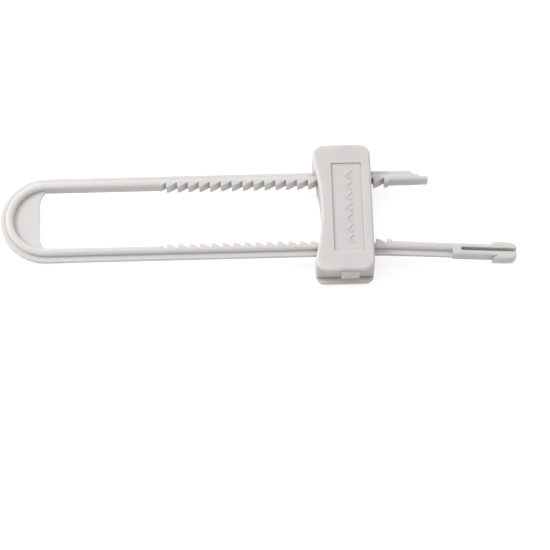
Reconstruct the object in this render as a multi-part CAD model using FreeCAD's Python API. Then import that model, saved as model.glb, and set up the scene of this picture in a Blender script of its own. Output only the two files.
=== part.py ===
"""Child-safety slide lock for cabinet doors: a U-shaped toothed bar and a sliding lock body.

Frame: +X runs along the legs towards their free ends, +Y towards the short leg, +Z towards the
front of the lock body. The origin is the centre of the bend, on the plane of the lock body's
back face. Everything is in millimetres.
"""

import FreeCAD
import Part
import math
import os

Vector = FreeCAD.Vector

# ---- bar ----------------------------------------------------------------------------------
BEND_OUTER = 17.9          # radius of the bend's outer edge, and half the bar's overall width
BAR_WIDTH = 5.1            # inner edge to outer edge of a plain leg
RIB_WIDTH = 3.0            # the tall inner part of the section
RIB_HEIGHT = 5.6
FIN_HEIGHT = 1.7           # the low fin along the outer side
BAR_MID_Z = 7.8            # mid-plane of the bar above the lock body's back face
RIB_ROUND = 1.2            # radius along the rib's long edges
WEB_THICKNESS = 1.6
WEB_EDGE = -2.8            # x of the web's free edge between the legs
WEB_EDGE_HALF = 6.5        # it is straight between +-this, then curves towards the legs
WEB_EDGE_CURVE = 8.7       # with this radius

PITCH = 4.25               # one tooth
FLANKS = 21                # steep flanks on each rack
RACK_START = 46.5          # x of the first steep flank
TOOTH_PROUD = 0.85         # how far a tooth tip stands in from the plain inner edge
TOOTH_DEPTH = 2.1
TIP_FLAT = 0.35
ROOT_FLAT = 0.30

SHORT_LEG_END = 148.6
LEAD_IN_START = 141.7      # the short leg's outer side is cut away from here
LEAD_IN_END = 145.9
SHORT_TIP_WIDTH = 1.5
SHORT_TIP_ROUND = 0.65

LONG_LEG_END = 181.6
BLOCK_START = 156.8        # from here the long leg has its full height right across
SLOT_START = 160.1
SLOT_INNER = 14.7          # the slot's two sides, as distances from the centre line
SLOT_OUTER = 16.1
HOOK_X = 172.1             # points of the end barbs
HOOK_ROOT_X = 174.3
OUTER_BARB = 1.2           # how far each barb stands out
INNER_BARB = 1.0
BARB_FLAT_END = 176.8
BARB_UNDERCUT = 0.1        # the outer barb's root is cut this far into the leg's edge
NOSE_SLOPE = 1.4           # the nose of each point narrows over this length
NOSE_DROP = 0.6            # and by this much on the outer side
NOSE_ROUND = 0.4
BARB_ROUND = 1.0           # radius along the barbed end's upper and lower edges
BARB_CORNER = 1.6

LEAN_STEP = 0.9            # the long leg's end leans outwards in small turns of this many degrees
LEAN_STEPS = 4             # the turns are one pitch apart
LEAN_FIRST_FLANK = 18      # and the first is in the gullet before this flank

# ---- lock body ----------------------------------------------------------------------------
BODY_X = 114.95            # centre of the lock body along the bar
HALF_WIDTH = 11.3
HALF_LENGTH = 27.2
CORNER = 4.6
PITCHES_TO_STOP = 11       # from here to where the end barbs stop the lock body
WAIST_HALF = 21.0          # the side towards the bend is hollowed between +-this
WAIST_DEPTH = 2.7
WAIST_SOFTEN = 6.0         # radius where the hollow meets the straight side
WAIST_NEAR = 0.5           # an edge this close to that place is on it, inset or not
THICKNESS = 14.5
BASE_THICKNESS = 1.8
WALL = 1.6
ROOF_Z = 12.4              # underside of the cover's roof
FRONT_ROUND = 1.1
BASE_INSET = 0.1           # the base plate's outline inside the cover's
BASE_CORNER = 3.3
BASE_SHORT = 0.5           # each end of the base plate stops this much before the cover's
BASE_ROUND = 0.45

RUNNING = 0.1              # clearance between sliding faces
NOTCH_SPARE = 0.1          # play of the bar in the notches of the side walls

RECESS_DEPTH = 2.8         # finger recess right across each end, under a thin lip
RECESS_TOP = 13.3
END_WALL = 1.2

PANEL_X = 1.7
PANEL_WIDTH = 11.8
PANEL_LENGTH = 37.8
PANEL_DEPTH = 0.5
PANEL_CORNER = 0.6
CHEVRONS = 7
CHEVRON_STEP = 4.6
CHEVRON_HALF = 1.7         # half the chevron's height across the panel's length
CHEVRON_REACH = 1.9
CHEVRON_STROKE = 0.75
CHEVRON_RAISE = 0.25

# ---- release buttons ----------------------------------------------------------------------
BUTTON_X = 1.85            # centre of the tab, from the lock body's centre
TAB_WIDTH = 7.0
TAB_BOTTOM = 7.0
TAB_TOP = 13.15
TAB_PROUD = 0.3            # beyond the cover's end
TAB_ROUND = 0.5
BUTTON_TRAVEL = 1.6
SHOULDER = 1.3             # each side of the tab, behind the end wall
BRIDGE_HALF = 5.0
BRIDGE_X = 1.6
BRIDGE_BOTTOM = 1.95
BRIDGE_TOP = 4.0
PAWL_TEETH = 3
PAWL_FIRST_FLANK = 16      # which rack flank the first pawl tooth bears on at rest
PAWL_INNER = 9.2
PAWL_BACK = 11.8           # face that the pawl teeth stand on
PAWL_TIP = 12.7
PAWL_TOP = 10.5
PAWL_GAP = 0.06            # between a pawl tooth and the steep flank
PAWL_CREST = 2.39          # width of a pawl tooth's crest
PAWL_CHEEK = 0.4           # the block's margin beyond its last tooth

# ---- springs, posts and rails -------------------------------------------------------------
SPRING_Z = 6.6
SPRING_RADIUS = 1.7
SPRING_WIRE = 0.22         # wire radius
SPRING_TURNS = 6
SPRING_SEAT = 0.35         # gap between the coil's ends and what it bears on
NUB_RADIUS = 1.15
NUB_LENGTH = 1.2
RIB_HALF = 0.9             # central rib that both springs bear on
RIB_SPAN = 3.2
POST_X = (-4.5, 6.3)
POST_Y = 4.8
POST_RADIUS = 1.6
PIN_RADIUS = 0.9
PIN_CLEARANCE = 0.02
PIN_LENGTH = 4.5
RAIL_THICKNESS = 1.1
RAIL_HEIGHT = 1.7
RAIL_ENDS = (13.0, 17.8)

STOP_WALL = 1.2            # inner wall on the +X side that the barbs run up against
STOP_PLAY = 0.5            # left between the barbs and that wall at the end of the travel
STOP_MARGIN = 0.5          # how far the wall reaches past the barbs

SHORT_SIDE = 1             # sign of Y for the short leg
LONG_SIDE = -1

BAR_INNER = BEND_OUTER - BAR_WIDTH
RIB_OUTER = BAR_INNER + RIB_WIDTH
TIP_LINE = BAR_INNER - TOOTH_PROUD
ROOT_LINE = TIP_LINE + TOOTH_DEPTH
SLOPE = (PITCH - TIP_FLAT - ROOT_FLAT) / TOOTH_DEPTH
BAR_BOTTOM = BAR_MID_Z - RIB_HEIGHT / 2
BAR_TOP = BAR_MID_Z + RIB_HEIGHT / 2

NOTCH_INNER = TIP_LINE - NOTCH_SPARE
NOTCH_OUTER = BEND_OUTER + NOTCH_SPARE
NOTCH_TOP = BAR_TOP + NOTCH_SPARE
RECESS_Y = HALF_LENGTH - RECESS_DEPTH
END_INNER = RECESS_Y - END_WALL
STOP_FACE = HOOK_X - STOP_PLAY - (BODY_X + PITCHES_TO_STOP * PITCH)

PAWL_RIGHT = RACK_START + (PAWL_FIRST_FLANK + PAWL_TEETH - 1) * PITCH - PAWL_GAP - BODY_X
PAWL_LEFT = PAWL_RIGHT - PAWL_TEETH * PITCH
PAWL_CENTRE = (PAWL_LEFT + PAWL_RIGHT) / 2

OVERLAP = 0.2              # how far pieces of one moulding run into each other before merging
MARGIN = 1.0               # how far a cutting shape reaches past what it cuts
TOLERANCE = 1e-6


# ---- small helpers ------------------------------------------------------------------------
def box(x0, x1, y0, y1, z0, z1):
    """A box between two corners."""
    corner = Vector(min(x0, x1), min(y0, y1), min(z0, z1))
    return Part.makeBox(abs(x1 - x0), abs(y1 - y0), abs(z1 - z0), corner)


def prism(points, z0, z1):
    """A straight-sided solid over a closed outline of (x, y) points."""
    corners = [Vector(x, y, z0) for x, y in points]
    face = Part.Face(Part.makePolygon(corners + corners[:1]))
    return face.extrude(Vector(0, 0, z1 - z0))


def mirrored(shape):
    """The same shape on the other side of the centre line."""
    return shape.mirror(Vector(0, 0, 0), Vector(0, 1, 0))


def on_side(shape, side):
    """A shape drawn for +Y, put on the side asked for."""
    return shape if side > 0 else mirrored(shape)


def merged(first, *others):
    """One solid from several that touch, without the seams between them."""
    return first.fuse(list(others)).removeSplitter()


def edges_where(shape, test):
    """The edges whose every vertex and middle pass a test."""
    found = []
    for edge in shape.Edges:
        middle = edge.valueAt((edge.FirstParameter + edge.LastParameter) / 2)
        points = [vertex.Point for vertex in edge.Vertexes] + [middle]
        if all(test(point) for point in points):
            found.append(edge)
    return found


def softened(shape, radius, test):
    """A shape with the edges that pass a test rounded."""
    return shape.makeFillet(radius, edges_where(shape, test))


def is_upright(edge):
    """Whether an edge runs along Z."""
    return abs(edge.tangentAt(edge.FirstParameter).z) > 1 - TOLERANCE


def is_along_x(edge):
    """Whether an edge runs along X."""
    return abs(edge.tangentAt(edge.FirstParameter).x) > 1 - TOLERANCE


def solid_of(shape):
    """The single solid of a result."""
    if len(shape.Solids) != 1:
        raise ValueError("expected one solid, found %d" % len(shape.Solids))
    return shape.Solids[0]


# ---- bar ----------------------------------------------------------------------------------
def bar_section(inner, fin_height=FIN_HEIGHT):
    """The bar's section in the YZ plane at x = 0, for the leg on +Y: a tall rib with a low fin."""
    rib = RIB_HEIGHT / 2
    fin = fin_height / 2
    outline = [
        (inner, -rib), (RIB_OUTER, -rib), (RIB_OUTER, -fin), (BEND_OUTER, -fin),
        (BEND_OUTER, fin), (RIB_OUTER, fin), (RIB_OUTER, rib), (inner, rib),
    ]
    if fin_height == RIB_HEIGHT:
        outline = [(inner, -rib), (BEND_OUTER, -rib), (BEND_OUTER, rib), (inner, rib)]
    corners = [Vector(0, y, BAR_MID_Z + z) for y, z in outline]
    return Part.Face(Part.makePolygon(corners + corners[:1]))


def rounded_along_x(shape):
    """A straight length of bar with its long outer edges rounded."""
    def long_edge(point):
        return abs(abs(point.z - BAR_MID_Z) - RIB_HEIGHT / 2) < TOLERANCE
    chosen = [edge for edge in edges_where(shape, long_edge) if is_along_x(edge)]
    return shape.makeFillet(RIB_ROUND, chosen)


def straight(x0, x1, inner, fin_height=FIN_HEIGHT):
    """A straight length of the leg on +Y."""
    face = bar_section(inner, fin_height)
    face.translate(Vector(x0, 0, 0))
    return rounded_along_x(face.extrude(Vector(x1 - x0, 0, 0)))


def bend():
    """Half a turn of the same section, from the leg on +Y round to the leg on -Y."""
    turned = bar_section(BAR_INNER).revolve(Vector(0, 0, 0), Vector(0, 0, 1), 180)

    def top_or_bottom(point):
        return abs(abs(point.z - BAR_MID_Z) - RIB_HEIGHT / 2) < TOLERANCE
    curved = [e for e in edges_where(turned, top_or_bottom) if not isinstance(e.Curve, Part.Line)]
    return turned.makeFillet(RIB_ROUND, curved)


def web():
    """The thin web that fills the bend, with its free edge hollowed."""
    z0 = BAR_MID_Z - WEB_THICKNESS / 2
    reach = BAR_INNER + RIB_WIDTH / 2
    disc = Part.makeCylinder(reach, WEB_THICKNESS, Vector(0, 0, z0))
    half = box(-reach, 0, -reach, reach, z0, z0 + WEB_THICKNESS)
    top = WEB_EDGE_HALF + WEB_EDGE_CURVE
    hollow = box(WEB_EDGE, reach, -top, top, z0, z0 + WEB_THICKNESS)

    def at_free_edge(point):
        return abs(point.x - WEB_EDGE) < TOLERANCE
    corners = [edge for edge in edges_where(hollow, at_free_edge) if is_upright(edge)]
    return disc.common(half).cut(hollow.makeFillet(WEB_EDGE_CURVE, corners))


def rack_outline():
    """The toothed inner edge of the leg on +Y, closed behind the leg."""
    behind = BEND_OUTER + MARGIN
    plain_run = (BAR_INNER - TIP_LINE) * SLOPE
    first_ramp = RACK_START - PITCH + TIP_FLAT + plain_run
    points = [(first_ramp, BAR_INNER), (RACK_START - ROOT_FLAT, ROOT_LINE)]
    for tooth in range(FLANKS):
        flank = RACK_START + tooth * PITCH
        points.append((flank, ROOT_LINE))
        points.append((flank, TIP_LINE))
        points.append((flank + TIP_FLAT, TIP_LINE))
        if tooth < FLANKS - 1:
            points.append((flank + PITCH - ROOT_FLAT, ROOT_LINE))
    last_plain = RACK_START + (FLANKS - 1) * PITCH + TIP_FLAT + plain_run
    points.append((last_plain, BAR_INNER))
    points.append((last_plain, behind))
    points.append((first_ramp, behind))
    return points, first_ramp, last_plain


def leg_with_rack(x1):
    """A leg on +Y from the bend to x1, toothed on its inner edge."""
    outline, rack_from, rack_to = rack_outline()
    before = straight(0, rack_from, BAR_INNER)
    toothed = straight(rack_from, rack_to, TIP_LINE).common(prism(outline, 0, THICKNESS))
    after = straight(rack_to, x1, BAR_INNER)
    return merged(before, toothed, after)


def short_leg_tip():
    """The end of the leg on +Y, narrowed to a rounded tip that finds its way in."""
    tip_outer = BAR_INNER + SHORT_TIP_WIDTH
    plan = prism(
        [(LEAD_IN_START, BAR_INNER), (SHORT_LEG_END, BAR_INNER), (SHORT_LEG_END, tip_outer),
         (LEAD_IN_END, tip_outer), (LEAD_IN_START, BEND_OUTER)],
        BAR_BOTTOM, BAR_TOP)

    def at_end(point):
        return point.x > SHORT_LEG_END - TOLERANCE
    corners = [edge for edge in edges_where(plan, at_end) if is_upright(edge)]
    return straight(LEAD_IN_START, SHORT_LEG_END, BAR_INNER).common(
        plan.makeFillet(SHORT_TIP_ROUND, corners))


def short_leg():
    """The leg on +Y with its tip."""
    return merged(leg_with_rack(LEAD_IN_START), short_leg_tip())


def barb_outline():
    """The long leg's end seen from above, drawn on +Y: two barbed points without the slot."""
    inner = BAR_INNER
    root = BEND_OUTER - BARB_UNDERCUT
    end = LONG_LEG_END
    return [
        (HOOK_X, inner), (HOOK_X, inner - INNER_BARB), (BARB_FLAT_END, inner - INNER_BARB),
        (end - NOSE_SLOPE, inner), (end, SLOT_INNER - NOSE_DROP),
        (end - NOSE_DROP, SLOT_INNER), (end - NOSE_DROP, SLOT_OUTER),
        (end, SLOT_OUTER + NOSE_DROP), (end - NOSE_SLOPE, BEND_OUTER + NOSE_DROP),
        (BARB_FLAT_END, BEND_OUTER + OUTER_BARB), (HOOK_X, BEND_OUTER + OUTER_BARB),
        (HOOK_ROOT_X, root), (HOOK_X, root),
    ]


def barb_stock():
    """A rounded block that the barbed end is cut from."""
    x0 = HOOK_X - BARB_CORNER
    block = box(x0, LONG_LEG_END, BAR_INNER - INNER_BARB, BEND_OUTER + OUTER_BARB,
                BAR_BOTTOM, BAR_TOP)

    def at_end(point):
        return point.x > LONG_LEG_END - TOLERANCE
    corners = [edge for edge in edges_where(block, at_end) if is_upright(edge)]
    block = block.makeFillet(BARB_CORNER, corners)

    def top_or_bottom(point):
        return abs(abs(point.z - BAR_MID_Z) - RIB_HEIGHT / 2) < TOLERANCE
    rims = edges_where(block, top_or_bottom)
    return block.makeFillet(BARB_ROUND, [rim for rim in rims if rim.BoundBox.XMax > x0 + TOLERANCE])


def barbs():
    """The barbed end as a solid, with the corners of its noses rounded."""
    solid = prism(barb_outline(), BAR_BOTTOM, BAR_TOP)

    def at_nose(point):
        past = point.x > BARB_FLAT_END - TOLERANCE
        return past and not SLOT_INNER - TOLERANCE < point.y < SLOT_OUTER + TOLERANCE
    noses = [edge for edge in edges_where(solid, at_nose) if is_upright(edge)]
    return solid.makeFillet(NOSE_ROUND, noses).common(barb_stock())


def lean_pivots():
    """The places along the long leg where its end turns outwards a little more."""
    first = RACK_START + LEAN_FIRST_FLANK * PITCH - ROOT_FLAT / 2
    return [first + step * PITCH for step in range(LEAN_STEPS)]


def lean_at(x):
    """How far outwards the long leg has moved by x."""
    rise = math.tan(math.radians(LEAN_STEP))
    return sum(max(0, x - pivot) * rise for pivot in lean_pivots())


def turned_at(shape, x, degrees):
    """A shape turned about an upright line through the inner edge of the leg on +Y."""
    turned = shape.copy()
    turned.rotate(Vector(x, BAR_INNER, 0), Vector(0, 0, 1), degrees)
    return turned


def leaned(leg):
    """The long leg on +Y with its end turned outwards, the outermost turn first.

    Both sides of each turn are mitred, so that their sections meet face to face.
    """
    reach = 2 * LONG_LEG_END
    for pivot in reversed(lean_pivots()):
        before = box(-reach, pivot, -reach, reach, 0, THICKNESS)
        beyond = box(pivot, reach, -reach, reach, 0, THICKNESS)
        near = leg.common(turned_at(before, pivot, LEAN_STEP / 2))
        far = leg.common(turned_at(beyond, pivot, -LEAN_STEP / 2))
        leg = near.fuse(turned_at(far, pivot, LEAN_STEP))
    return leg


def long_leg():
    """The leg on +Y, later mirrored: full height from the block on, slotted, with two barbs."""
    leg = leg_with_rack(BLOCK_START)
    block = straight(BLOCK_START, HOOK_X, BAR_INNER, RIB_HEIGHT)
    slot = box(SLOT_START, LONG_LEG_END + MARGIN, SLOT_INNER, SLOT_OUTER, 0, THICKNESS)
    return leaned(merged(leg, block, barbs()).cut(slot))


def u_bar():
    """The whole bar: bend, web and both legs, one moulding."""
    return solid_of(merged(bend(), web(), short_leg(), mirrored(long_leg())))


# ---- lock body outline --------------------------------------------------------------------
def body_outline(z, inset=0.0, half_length=HALF_LENGTH, corner=CORNER):
    """The lock body's outline as a wire at a height, drawn inset by some distance."""
    w = HALF_WIDTH
    h = half_length
    r = corner
    k = r * (1 - math.sqrt(0.5))

    def at(x, y):
        return Vector(BODY_X + x, y, z)
    edges = [
        Part.LineSegment(at(w, r - h), at(w, h - r)),
        Part.Arc(at(w, h - r), at(w - k, h - k), at(w - r, h)),
        Part.LineSegment(at(w - r, h), at(r - w, h)),
        Part.Arc(at(r - w, h), at(k - w, h - k), at(-w, h - r)),
        Part.LineSegment(at(-w, h - r), at(-w, WAIST_HALF)),
        Part.Arc(at(-w, WAIST_HALF), at(WAIST_DEPTH - w, 0), at(-w, -WAIST_HALF)),
        Part.LineSegment(at(-w, -WAIST_HALF), at(-w, r - h)),
        Part.Arc(at(-w, r - h), at(k - w, k - h), at(r - w, -h)),
        Part.LineSegment(at(r - w, -h), at(w - r, -h)),
        Part.Arc(at(w - r, -h), at(w - k, k - h), at(w, r - h)),
    ]
    wire = Part.Wire([edge.toShape() for edge in edges])
    return wire.makeOffset2D(-inset) if inset else wire


def body_block(z0, z1, *shape):
    """The outline made solid between two heights."""
    return Part.Face(body_outline(z0, *shape)).extrude(Vector(0, 0, z1 - z0))


def waist_shoulder(point):
    """Whether a point is on the upright edges where the hollow side begins."""
    beside = abs(point.x - (BODY_X - HALF_WIDTH)) < WAIST_NEAR
    return beside and abs(abs(point.y) - WAIST_HALF) < WAIST_NEAR


def soft_block(z0, z1, *shape):
    """The solid outline with the ends of the hollow blended into the side."""
    block = body_block(z0, z1, *shape)
    shoulders = [edge for edge in edges_where(block, waist_shoulder) if is_upright(edge)]
    return block.makeFillet(WAIST_SOFTEN, shoulders)


def centred(x0, x1, y0, y1, z0, z1):
    """A box with its x measured from the lock body's centre."""
    return box(BODY_X + x0, BODY_X + x1, y0, y1, z0, z1)


# ---- lock body cover ----------------------------------------------------------------------
def front_panel():
    """The shallow panel sunk into the cover's front."""
    half_w = PANEL_WIDTH / 2
    half_l = PANEL_LENGTH / 2
    panel = centred(PANEL_X - half_w, PANEL_X + half_w, -half_l, half_l,
                    THICKNESS - PANEL_DEPTH, THICKNESS + MARGIN)
    return panel.makeFillet(PANEL_CORNER, [edge for edge in panel.Edges if is_upright(edge)])


def chevron(y):
    """One raised chevron in the panel. It points the way the lock body slides to lock."""
    z0 = THICKNESS - PANEL_DEPTH
    tip = BODY_X + PANEL_X - CHEVRON_REACH / 2
    back = tip + CHEVRON_REACH
    stroke = CHEVRON_STROKE * math.sqrt(2)
    points = [(tip, y), (back, y + CHEVRON_HALF), (back + stroke, y + CHEVRON_HALF),
              (tip + stroke, y), (back + stroke, y - CHEVRON_HALF), (back, y - CHEVRON_HALF)]
    return prism(points, z0 - OVERLAP, z0 + CHEVRON_RAISE)


def cover_cavity():
    """The hollow of the cover: the outline inset by the wall, stopped short of the end walls."""
    hollow = body_block(BASE_THICKNESS, ROOF_Z, WALL)
    kept = centred(-HALF_WIDTH, HALF_WIDTH, -END_INNER, END_INNER, BASE_THICKNESS, ROOF_Z)
    return hollow.common(kept)


def end_cuts(side):
    """What is cut from the cover at one end: the finger recess, and the tab's window."""
    across = HALF_WIDTH + MARGIN
    recess = centred(-across, across, RECESS_Y, HALF_LENGTH + MARGIN,
                     BASE_THICKNESS, RECESS_TOP)
    half = TAB_WIDTH / 2 + RUNNING
    window = centred(BUTTON_X - half, BUTTON_X + half, POST_INNER - BUTTON_TRAVEL - RUNNING,
                     RECESS_Y + OVERLAP, BASE_THICKNESS, TAB_TOP + RUNNING)
    return [on_side(cut, side) for cut in (recess, window)]


def leg_way(side, margin, z0, z1):
    """The room one leg needs through both side walls over the whole travel, less a margin.

    The long leg leans, so it needs more room, and most at the +X wall.
    """
    ways = []
    across = HALF_WIDTH + MARGIN
    for x0, x1 in ((-across, 0), (0, across)):
        lean = 0
        if side == LONG_SIDE:
            lean = lean_at(BODY_X + PITCHES_TO_STOP * PITCH + x1)
        ways.append(centred(x0, x1, NOTCH_INNER + margin, NOTCH_OUTER + lean - margin, z0, z1))
    return on_side(merged(*ways), side)


def bar_notch(side):
    """The way for one leg through both side walls, open towards the base."""
    return leg_way(side, 0, BASE_THICKNESS, NOTCH_TOP)


def cover_posts():
    """Four hollow posts under the roof that the base's pins press into."""
    posts = []
    foot = BASE_THICKNESS + RUNNING
    for x in POST_X:
        for y in (-POST_Y, POST_Y):
            at = Vector(BODY_X + x, y, foot)
            post = Part.makeCylinder(POST_RADIUS, ROOF_Z + OVERLAP - foot, at)
            bore = Part.makeCylinder(PIN_RADIUS + PIN_CLEARANCE, PIN_LENGTH + OVERLAP, at)
            posts.append(post.cut(bore))
    return posts


def stop_lean():
    """How far the barbs have leaned outwards at their points."""
    return lean_at(HOOK_X)


def stop_wall():
    """The inner wall on the +X side, on the long leg's side, that the end barbs stop against."""
    outer = NOTCH_OUTER + stop_lean() + OUTER_BARB + STOP_MARGIN
    inner = NOTCH_INNER - STOP_MARGIN
    wall = centred(STOP_FACE - STOP_WALL, STOP_FACE, -outer, -inner,
                   BASE_THICKNESS, ROOF_Z + OVERLAP)
    return wall.cut(bar_notch(LONG_SIDE))


def barb_way():
    """A wider way through the outer wall on the +X side, so that the barbs reach the stop."""
    inner = BAR_INNER - INNER_BARB - NOTCH_SPARE
    outer = NOTCH_OUTER + stop_lean() + OUTER_BARB
    return centred(STOP_FACE, HALF_WIDTH + MARGIN, -outer, -inner, BASE_THICKNESS, NOTCH_TOP)


def slider_cover():
    """The front shell of the lock body, with its roof, side walls and end walls."""
    shell = soft_block(BASE_THICKNESS, THICKNESS)
    shell = softened(shell, FRONT_ROUND, lambda point: point.z > THICKNESS - TOLERANCE)
    shell = shell.cut(cover_cavity())
    shell = shell.cut(front_panel())
    for side in (SHORT_SIDE, LONG_SIDE):
        shell = shell.cut(end_cuts(side) + [bar_notch(side)])
    shell = shell.fuse(cover_posts() + [stop_wall()])
    shell = shell.cut(barb_way())
    first = -(CHEVRONS - 1) / 2
    marks = [chevron((first + n) * CHEVRON_STEP) for n in range(CHEVRONS)]
    return solid_of(shell.fuse(marks).removeSplitter())


# ---- lock body base -----------------------------------------------------------------------
def saddle(side):
    """Two low walls on the base that close the notches below one leg and carry it."""
    ring = body_block(BASE_THICKNESS, BAR_BOTTOM - NOTCH_SPARE, BASE_INSET)
    ring = ring.cut(body_block(BASE_THICKNESS, BAR_BOTTOM, WALL))
    return ring.common(leg_way(side, RUNNING, BASE_THICKNESS, BAR_BOTTOM))


def rails(side):
    """Two low rails that guide one button's bridge."""
    made = []
    for edge in (-1, 1):
        near = BRIDGE_X + edge * (BRIDGE_HALF + RUNNING)
        far = near + edge * RAIL_THICKNESS
        rail = centred(near, far, RAIL_ENDS[0], RAIL_ENDS[1],
                       BASE_THICKNESS, BASE_THICKNESS + RAIL_HEIGHT)
        made.append(on_side(rail, side))
    return made


def spring_rib():
    """The central rib both springs bear on, with a nub on each side."""
    x = PAWL_CENTRE
    rib = centred(x - RIB_SPAN, x + RIB_SPAN, -RIB_HALF, RIB_HALF, BASE_THICKNESS, ROOF_Z - RUNNING)
    length = 2 * (RIB_HALF + NUB_LENGTH)
    start = Vector(BODY_X + x, -length / 2, SPRING_Z)
    nubs = Part.makeCylinder(NUB_RADIUS, length, start, Vector(0, 1, 0))
    return rib.fuse(nubs)


def pins():
    """Four pins that press into the cover's posts."""
    made = []
    for x in POST_X:
        for y in (-POST_Y, POST_Y):
            at = Vector(BODY_X + x, y, BASE_THICKNESS)
            made.append(Part.makeCylinder(PIN_RADIUS, PIN_LENGTH, at))
    return made


def slider_base():
    """The back plate of the lock body, with everything that stands on it."""
    plate = soft_block(0, BASE_THICKNESS, BASE_INSET, HALF_LENGTH - BASE_SHORT, BASE_CORNER)
    plate = softened(plate, BASE_ROUND, lambda point: point.z < TOLERANCE)
    standing = [spring_rib()] + pins()
    for side in (SHORT_SIDE, LONG_SIDE):
        standing += rails(side) + [saddle(side)]
    return solid_of(merged(plate, *standing))


# ---- release buttons ----------------------------------------------------------------------
LAST_REACH = BODY_X + PITCHES_TO_STOP * PITCH + BUTTON_X + TAB_WIDTH / 2 + SHOULDER
POST_INNER = BEND_OUTER + lean_at(LAST_REACH) + BUTTON_TRAVEL + RUNNING


def pawl_outline():
    """The pawl seen from above: a block with three teeth that lean like the rack's."""
    rise = PAWL_TIP - PAWL_BACK
    points = [(BODY_X + PAWL_LEFT, PAWL_INNER), (BODY_X + PAWL_LEFT, PAWL_BACK)]
    for tooth in range(PAWL_TEETH):
        flank = BODY_X + PAWL_LEFT + (tooth + 1) * PITCH
        crest = flank - PAWL_CREST
        points.append((crest - rise * SLOPE, PAWL_BACK))
        points.append((crest, PAWL_TIP))
        points.append((flank, PAWL_TIP))
        points.append((flank, PAWL_BACK))
    points.append((BODY_X + PAWL_RIGHT + PAWL_CHEEK, PAWL_BACK))
    points.append((BODY_X + PAWL_RIGHT + PAWL_CHEEK, PAWL_INNER))
    return points


def button():
    """A release button on +Y: tab, shoulders, a bridge under the leg, and the pawl inside."""
    half = TAB_WIDTH / 2
    tab_face = HALF_LENGTH + TAB_PROUD
    post_outer = END_INNER - RUNNING
    tab = centred(BUTTON_X - half, BUTTON_X + half, POST_INNER, tab_face, TAB_BOTTOM, TAB_TOP)

    def outer_face(point):
        return point.y > tab_face - TOLERANCE
    tab = softened(tab, TAB_ROUND, outer_face)
    post = centred(BUTTON_X - half - SHOULDER, BUTTON_X + half + SHOULDER, POST_INNER,
                   post_outer, BRIDGE_BOTTOM, ROOF_Z - RUNNING)
    bridge = centred(BRIDGE_X - BRIDGE_HALF, BRIDGE_X + BRIDGE_HALF, PAWL_INNER, post_outer,
                     BRIDGE_BOTTOM, BRIDGE_TOP)
    pawl = prism(pawl_outline(), BRIDGE_TOP - OVERLAP, PAWL_TOP)
    nub = Part.makeCylinder(NUB_RADIUS, NUB_LENGTH + OVERLAP,
                            Vector(BODY_X + PAWL_CENTRE, PAWL_INNER - NUB_LENGTH, SPRING_Z),
                            Vector(0, 1, 0))
    return solid_of(merged(tab, post, bridge, pawl, nub))


# ---- springs ------------------------------------------------------------------------------
def spring():
    """A compression spring on +Y, between the central rib and the pawl."""
    start = RIB_HALF + SPRING_SEAT
    length = PAWL_INNER - SPRING_SEAT - start
    pitch = length / SPRING_TURNS
    helix = Part.makeHelix(pitch, length, SPRING_RADIUS)
    circle = Part.makeCircle(SPRING_WIRE, Vector(SPRING_RADIUS, 0, 0), Vector(0, 1, 0))
    coil = Part.Wire(helix.Edges).makePipeShell([Part.Wire(circle)], True, True)
    coil.rotate(Vector(0, 0, 0), Vector(1, 0, 0), -90)
    coil.translate(Vector(BODY_X + PAWL_CENTRE, start, SPRING_Z))
    return solid_of(coil)


def build():
    """Every piece by its name."""
    return {
        "u_bar": u_bar(),
        "slider_base": slider_base(),
        "slider_cover": slider_cover(),
        "upper_button": button(),
        "lower_button": solid_of(mirrored(button())),
        "upper_spring": spring(),
        "lower_spring": solid_of(mirrored(spring())),
    }


os.makedirs("parts", exist_ok=True)
for name, shape in build().items():
    shape.exportStep("parts/%s.step" % name)
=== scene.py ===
"""Looks for the slide lock: moulded plastic and steel springs, a pale table, light and camera.

Lengths are in metres and noise scales in waves per metre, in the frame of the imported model.
"""

import math
import bpy
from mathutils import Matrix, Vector


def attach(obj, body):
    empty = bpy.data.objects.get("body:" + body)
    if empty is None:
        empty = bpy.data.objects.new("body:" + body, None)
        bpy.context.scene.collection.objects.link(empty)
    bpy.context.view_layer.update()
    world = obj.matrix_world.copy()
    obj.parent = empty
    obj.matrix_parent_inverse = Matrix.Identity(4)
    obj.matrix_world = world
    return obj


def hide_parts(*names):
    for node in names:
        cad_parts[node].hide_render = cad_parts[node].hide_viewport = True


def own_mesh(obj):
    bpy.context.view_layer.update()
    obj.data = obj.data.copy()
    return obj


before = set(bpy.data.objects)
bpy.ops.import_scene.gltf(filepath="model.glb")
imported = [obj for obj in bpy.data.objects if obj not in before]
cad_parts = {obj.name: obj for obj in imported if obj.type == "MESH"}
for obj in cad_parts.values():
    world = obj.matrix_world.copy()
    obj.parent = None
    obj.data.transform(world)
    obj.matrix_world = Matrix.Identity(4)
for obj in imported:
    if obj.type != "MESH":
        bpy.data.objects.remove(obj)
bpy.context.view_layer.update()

# ---- view -----------------------------------------------------------------------------------
VIEW_TURN = math.radians(1.56)        # the lock lies turned by this in the frame
VIEW_ELEVATION = math.radians(64.9)
VIEW_DISTANCE = 1.0
VIEW_TARGET = Vector((0.08784, -0.02564, 0.00811))
VIEW_ANGLE = math.radians(12.06)
VIEW_REACH = 20.0                     # nothing further away than this is drawn

# ---- light and table ------------------------------------------------------------------------
WORLD_STRENGTH = 0.64
WORLD_FRONT = 0.65                    # the world's share of that from -Y
WORLD_BACK = 1.35                     # and from +Y
KEY_PLACE = (-0.65, 0.25, 0.62)
KEY_TARGET = (0.05, 0.0, 0.0)
KEY_SIZE = 0.35
KEY_POWER = 4.2

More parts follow.
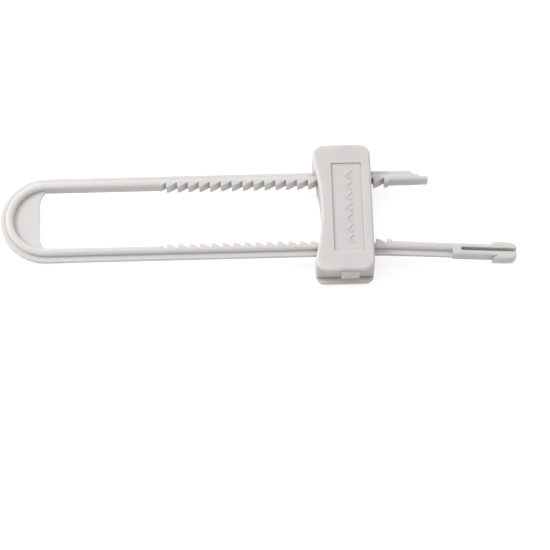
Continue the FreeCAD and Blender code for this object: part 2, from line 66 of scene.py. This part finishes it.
TABLE_SIZE = 6.0
TABLE_DROP = 0.0002                   # so that no face of the lock lies in the table top
TABLE_GLOW = 0.55                     # lifts the table top to white where the camera sees it
TABLE_DARK = (0.86, 0.86, 0.86)
TABLE_PALE = (0.90, 0.90, 0.90)
TABLE_BOUNCE = (0.77, 0.765, 0.755)   # the table's colour in the light it throws back

# ---- plastic --------------------------------------------------------------------------------
CLOUDS = 38.0                         # noise scales, from the broadest to the finest
WAVES = 55.0
GRAIN = 420.0
SPECKS = 1500.0
SKIN = 2600.0
SPECK_TONE = 0.82
SPECK_AMOUNT = 0.10
WORN_TONE = 1.04
WORN_AMOUNT = 0.5
WORN_REACH = 0.0005                   # how far in from an edge the plastic is rubbed
CORNER_SHADE_TONE = (0.50, 0.47, 0.44)             # what is left of a colour where painted shade darkens corners
CORNER_SHADE_REACH = 0.0028                   # corners and slots narrower than this get painted shade
PLASTIC_IOR = 1.49
GLOW_WEIGHT = 0.85                    # light that passes through the plastic
GLOW_DEPTH = 0.002
GLOW_COLOUR = (1.0, 0.92, 0.85)
WAVE_HEIGHT = 0.00012
WAVE_STRENGTH = 0.35
SKIN_HEIGHT = 0.00004

# ---- springs --------------------------------------------------------------------------------
WIRE_DARK = (0.46, 0.46, 0.48)
WIRE_PALE = (0.66, 0.66, 0.68)
WIRE_STREAKS = 900.0
WIRE_RELIEF = 0.00002

# ---- edges ----------------------------------------------------------------------------------
WELD_GAP = 0.000002
EDGE_ANGLE = math.radians(32)         # sharper meetings of faces than this are rounded
EDGE_SEGMENTS = 2
SHELL_EDGE = 0.00012
BUTTON_EDGE = 0.00015
WIRE_EDGE = 0.00001
NORMAL_WEIGHT = 100


# ---- material building blocks ---------------------------------------------------------------
class Nodes:
    """Short ways to add and wire shader nodes."""

    def __init__(self, name):
        self.material = bpy.data.materials.new(name)
        self.material.use_nodes = True
        self.tree = self.material.node_tree
        self.tree.nodes.clear()
        self.output = self.add("ShaderNodeOutputMaterial")
        self.shader = self.add("ShaderNodeBsdfPrincipled")
        self.link(self.shader.outputs["BSDF"], self.output.inputs["Surface"])
        self.position = self.add("ShaderNodeTexCoord").outputs["Object"]

    def add(self, kind, **settings):
        node = self.tree.nodes.new(kind)
        for key, value in settings.items():
            setattr(node, key, value)
        return node

    def link(self, source, target):
        self.tree.links.new(source, target)

    def feed(self, target, value):
        """Sets an input to a number or a colour, or wires it to another node's output."""
        if isinstance(value, bpy.types.NodeSocket):
            self.link(value, target)
        elif isinstance(value, tuple):
            target.default_value = (*value, 1)
        else:
            target.default_value = value

    def noise(self, scale, detail=4.0, roughness=0.55):
        node = self.add("ShaderNodeTexNoise")
        node.inputs["Scale"].default_value = scale
        node.inputs["Detail"].default_value = detail
        node.inputs["Roughness"].default_value = roughness
        self.link(self.position, node.inputs["Vector"])
        return node.outputs["Fac"]

    def ramp(self, source, low, high, stops):
        """A colour ramp between two places, with the colours given."""
        node = self.add("ShaderNodeValToRGB")
        node.color_ramp.elements[0].position = low
        node.color_ramp.elements[1].position = high
        node.color_ramp.elements[0].color = (*stops[0], 1)
        node.color_ramp.elements[1].color = (*stops[1], 1)
        self.link(source, node.inputs["Fac"])
        return node.outputs["Color"]

    def span(self, source, low, high, to_low, to_high):
        """A value mapped from one range to another, held inside it."""
        node = self.add("ShaderNodeMapRange", clamp=True)
        node.inputs["From Min"].default_value = low
        node.inputs["From Max"].default_value = high
        node.inputs["To Min"].default_value = to_low
        node.inputs["To Max"].default_value = to_high
        self.link(source, node.inputs["Value"])
        return node.outputs["Result"]

    def mixed(self, factor, first, second):
        """Two colours mixed, each of them a tuple or another node's output."""
        node = self.add("ShaderNodeMix", data_type="RGBA")
        self.feed(node.inputs[0], factor)
        self.feed(node.inputs[6], first)
        self.feed(node.inputs[7], second)
        return node.outputs[2]

    def product(self, first, second):
        node = self.add("ShaderNodeMath", operation="MULTIPLY")
        self.feed(node.inputs[0], first)
        self.feed(node.inputs[1], second)
        return node.outputs[0]

    def edge_mask(self, radius):
        """Near 1 along outer edges, 0 on flats: where the plastic's edges are rubbed."""
        bevel = self.add("ShaderNodeBevel", samples=6)
        bevel.inputs["Radius"].default_value = radius
        geometry = self.add("ShaderNodeNewGeometry")
        dot = self.add("ShaderNodeVectorMath", operation="DOT_PRODUCT")
        self.link(bevel.outputs["Normal"], dot.inputs[0])
        self.link(geometry.outputs["Normal"], dot.inputs[1])
        return self.span(dot.outputs["Value"], 1.0, 0.86, 0.0, 1.0)

    def painted_shade_mask(self, reach):
        """Near 1 down in corners and slots, 0 in the open: where painted shade darkens the
        colour.
        """
        occlusion = self.add("ShaderNodeAmbientOcclusion", samples=8)
        occlusion.inputs["Distance"].default_value = reach
        return self.span(occlusion.outputs["AO"], 0.15, 0.85, 1.0, 0.0)

    def bump(self, height, strength, distance, normal=None):
        node = self.add("ShaderNodeBump")
        node.inputs["Strength"].default_value = strength
        node.inputs["Distance"].default_value = distance
        self.link(height, node.inputs["Height"])
        if normal is not None:
            self.link(normal, node.inputs["Normal"])
        return node.outputs["Normal"]


def moulded_plastic(name, tint, shade, rough_low, rough_high, grain, corner_shade):
    """Off-white polypropylene: faint flow clouding, fine grain, rubbed edges, and painted shade
    darkening its corners.
    """
    n = Nodes(name)
    cloud = n.noise(CLOUDS, 3.0)
    fine = n.noise(GRAIN, 5.0, 0.65)
    colour = n.ramp(cloud, 0.34, 0.68, (shade, tint))
    speck = n.span(n.noise(SPECKS, 2.0), 0.62, 0.78, 0.0, SPECK_AMOUNT)
    colour = n.mixed(speck, colour, tuple(c * SPECK_TONE for c in shade))
    rub = n.product(n.edge_mask(WORN_REACH), n.span(fine, 0.35, 0.65, 0.15, 0.9))
    worn = tuple(min(1.0, c * WORN_TONE) for c in tint)
    colour = n.mixed(n.product(rub, WORN_AMOUNT), colour, worn)
    # painted shade: the colour darkened in corners and slots, standing in for the shade that
    # falls there
    shaded_colour = tuple(c * d for c, d in zip(shade, CORNER_SHADE_TONE))
    colour = n.mixed(n.product(n.painted_shade_mask(CORNER_SHADE_REACH), corner_shade), colour, shaded_colour)
    n.link(colour, n.shader.inputs["Base Color"])
    n.link(n.span(fine, 0.3, 0.7, rough_low, rough_high), n.shader.inputs["Roughness"])
    n.shader.inputs["IOR"].default_value = PLASTIC_IOR
    n.shader.inputs["Subsurface Weight"].default_value = GLOW_WEIGHT
    n.shader.inputs["Subsurface Radius"].default_value = GLOW_COLOUR
    n.shader.inputs["Subsurface Scale"].default_value = GLOW_DEPTH
    skin = n.noise(SKIN, 3.0, 0.7)
    normal = n.bump(n.noise(WAVES, 2.0), WAVE_STRENGTH, WAVE_HEIGHT)
    n.link(n.bump(skin, grain, SKIN_HEIGHT, normal), n.shader.inputs["Normal"])
    return n.material


def spring_steel(name):
    """Bright drawn wire with faint streaks."""
    n = Nodes(name)
    streak = n.noise(WIRE_STREAKS, 6.0, 0.7)
    colour = n.ramp(streak, 0.3, 0.7, (WIRE_DARK, WIRE_PALE))
    n.link(colour, n.shader.inputs["Base Color"])
    n.shader.inputs["Metallic"].default_value = 1.0
    n.link(n.span(streak, 0.3, 0.7, 0.22, 0.40), n.shader.inputs["Roughness"])
    n.link(n.bump(streak, 0.3, WIRE_RELIEF), n.shader.inputs["Normal"])
    return n.material


def table_material():
    """Plain pale table top: white to the camera, greyer in the light it throws back."""
    n = Nodes("pale_table")
    seen = n.add("ShaderNodeLightPath").outputs["Is Camera Ray"]
    tone = n.ramp(n.noise(3.0, 2.0), 0.3, 0.7, (TABLE_DARK, TABLE_PALE))
    n.link(n.mixed(seen, TABLE_BOUNCE, tone), n.shader.inputs["Base Color"])
    n.shader.inputs["Roughness"].default_value = 0.9
    n.shader.inputs["Specular IOR Level"].default_value = 0.0
    n.shader.inputs["Emission Color"].default_value = (1, 1, 1, 1)
    n.link(n.product(seen, TABLE_GLOW), n.shader.inputs["Emission Strength"])
    return n.material


# ---- pieces ---------------------------------------------------------------------------------
def dress(piece, material, edge_width):
    """Gives a piece its material, and small rounded edges where its faces meet."""
    piece.data.materials.clear()
    piece.data.materials.append(material)
    weld = piece.modifiers.new("weld", "WELD")
    weld.merge_threshold = WELD_GAP
    bevel = piece.modifiers.new("soft_edges", "BEVEL")
    bevel.width = edge_width
    bevel.segments = EDGE_SEGMENTS
    bevel.limit_method = "ANGLE"
    bevel.angle_limit = EDGE_ANGLE
    bevel.use_clamp_overlap = True
    bevel.harden_normals = False
    normals = piece.modifiers.new("even_normals", "WEIGHTED_NORMAL")
    normals.keep_sharp = True
    normals.weight = NORMAL_WEIGHT


def shortening_spring(name):
    """A copy of a CAD spring, attached to the lock body, shown in place of the hidden CAD spring.
    """
    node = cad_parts[name]
    coil = bpy.data.objects.new(name + "_coil", node.data.copy())
    coil.matrix_world = node.matrix_world.copy()
    bpy.context.scene.collection.objects.link(coil)
    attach(coil, "lock_body")
    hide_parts(name)
    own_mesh(coil)
    return coil


# ---- stage ----------------------------------------------------------------------------------
def table():
    """A large pale table top just under the lock."""
    bpy.ops.mesh.primitive_plane_add(size=TABLE_SIZE, location=(0, 0, -TABLE_DROP))
    top = bpy.context.object
    top.name = "table_top"
    top.data.materials.append(table_material())


def area_light(name, place, target, size, power):
    """A square soft light aimed at a point."""
    data = bpy.data.lights.new(name, "AREA")
    data.shape = "SQUARE"
    data.size = size
    data.energy = power
    lamp = bpy.data.objects.new(name, data)
    lamp.location = place
    lamp.rotation_euler = (Vector(target) - Vector(place)).to_track_quat("-Z", "Y").to_euler()
    bpy.context.scene.collection.objects.link(lamp)


def world_light(strength, front, back):
    """White light from all round, going from one share of its strength at -Y to another at +Y."""
    world = bpy.data.worlds.new("studio")
    world.use_nodes = True
    tree = world.node_tree
    background = tree.nodes["Background"]
    background.inputs["Color"].default_value = (1, 1, 1, 1)
    toward = tree.nodes.new("ShaderNodeTexCoord").outputs["Generated"]
    parts = tree.nodes.new("ShaderNodeSeparateXYZ")
    tree.links.new(toward, parts.inputs["Vector"])
    level = tree.nodes.new("ShaderNodeMapRange")
    for name, value in (("From Min", -1), ("From Max", 1),
                        ("To Min", strength * front), ("To Max", strength * back)):
        level.inputs[name].default_value = value
    tree.links.new(parts.outputs["Y"], level.inputs["Value"])
    tree.links.new(level.outputs["Result"], background.inputs["Strength"])
    bpy.context.scene.world = world


def camera():
    """A long lens above the lock, looking along +Y and down."""
    data = bpy.data.cameras.new("camera")
    data.angle = VIEW_ANGLE
    data.clip_end = VIEW_REACH
    eye = bpy.data.objects.new("camera", data)
    away = Vector((-math.sin(VIEW_TURN) * math.cos(VIEW_ELEVATION),
                   -math.cos(VIEW_TURN) * math.cos(VIEW_ELEVATION),
                   math.sin(VIEW_ELEVATION)))
    eye.location = VIEW_TARGET + away * VIEW_DISTANCE
    eye.rotation_euler = (-away).to_track_quat("-Z", "Y").to_euler()
    bpy.context.scene.collection.objects.link(eye)
    bpy.context.scene.camera = eye


# ---- the object -----------------------------------------------------------------------------
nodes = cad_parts
# the last number of each plastic is how strongly painted shade darkens its corners
bar_plastic = moulded_plastic(
    "bar_plastic", tint=(0.81, 0.80, 0.79), shade=(0.78, 0.765, 0.75),
    rough_low=0.36, rough_high=0.50, grain=0.25, corner_shade=0.45)
body_plastic = moulded_plastic(
    "body_plastic", tint=(0.82, 0.785, 0.77), shade=(0.795, 0.755, 0.74),
    rough_low=0.40, rough_high=0.55, grain=0.45, corner_shade=0.9)
button_plastic = moulded_plastic(
    "button_plastic", tint=(0.82, 0.795, 0.77), shade=(0.80, 0.77, 0.745),
    rough_low=0.38, rough_high=0.52, grain=0.35, corner_shade=0.3)
wire = spring_steel("spring_steel")

dress(nodes["u_bar"], bar_plastic, SHELL_EDGE)
dress(nodes["slider_cover"], body_plastic, SHELL_EDGE)
dress(nodes["slider_base"], body_plastic, SHELL_EDGE)
dress(nodes["upper_button"], button_plastic, BUTTON_EDGE)
dress(nodes["lower_button"], button_plastic, BUTTON_EDGE)
dress(shortening_spring("upper_spring"), wire, WIRE_EDGE)
dress(shortening_spring("lower_spring"), wire, WIRE_EDGE)

table()
world_light(WORLD_STRENGTH, WORLD_FRONT, WORLD_BACK)
area_light("key", KEY_PLACE, KEY_TARGET, KEY_SIZE, KEY_POWER)
camera()
bpy.context.scene.view_settings.view_transform = "Standard"
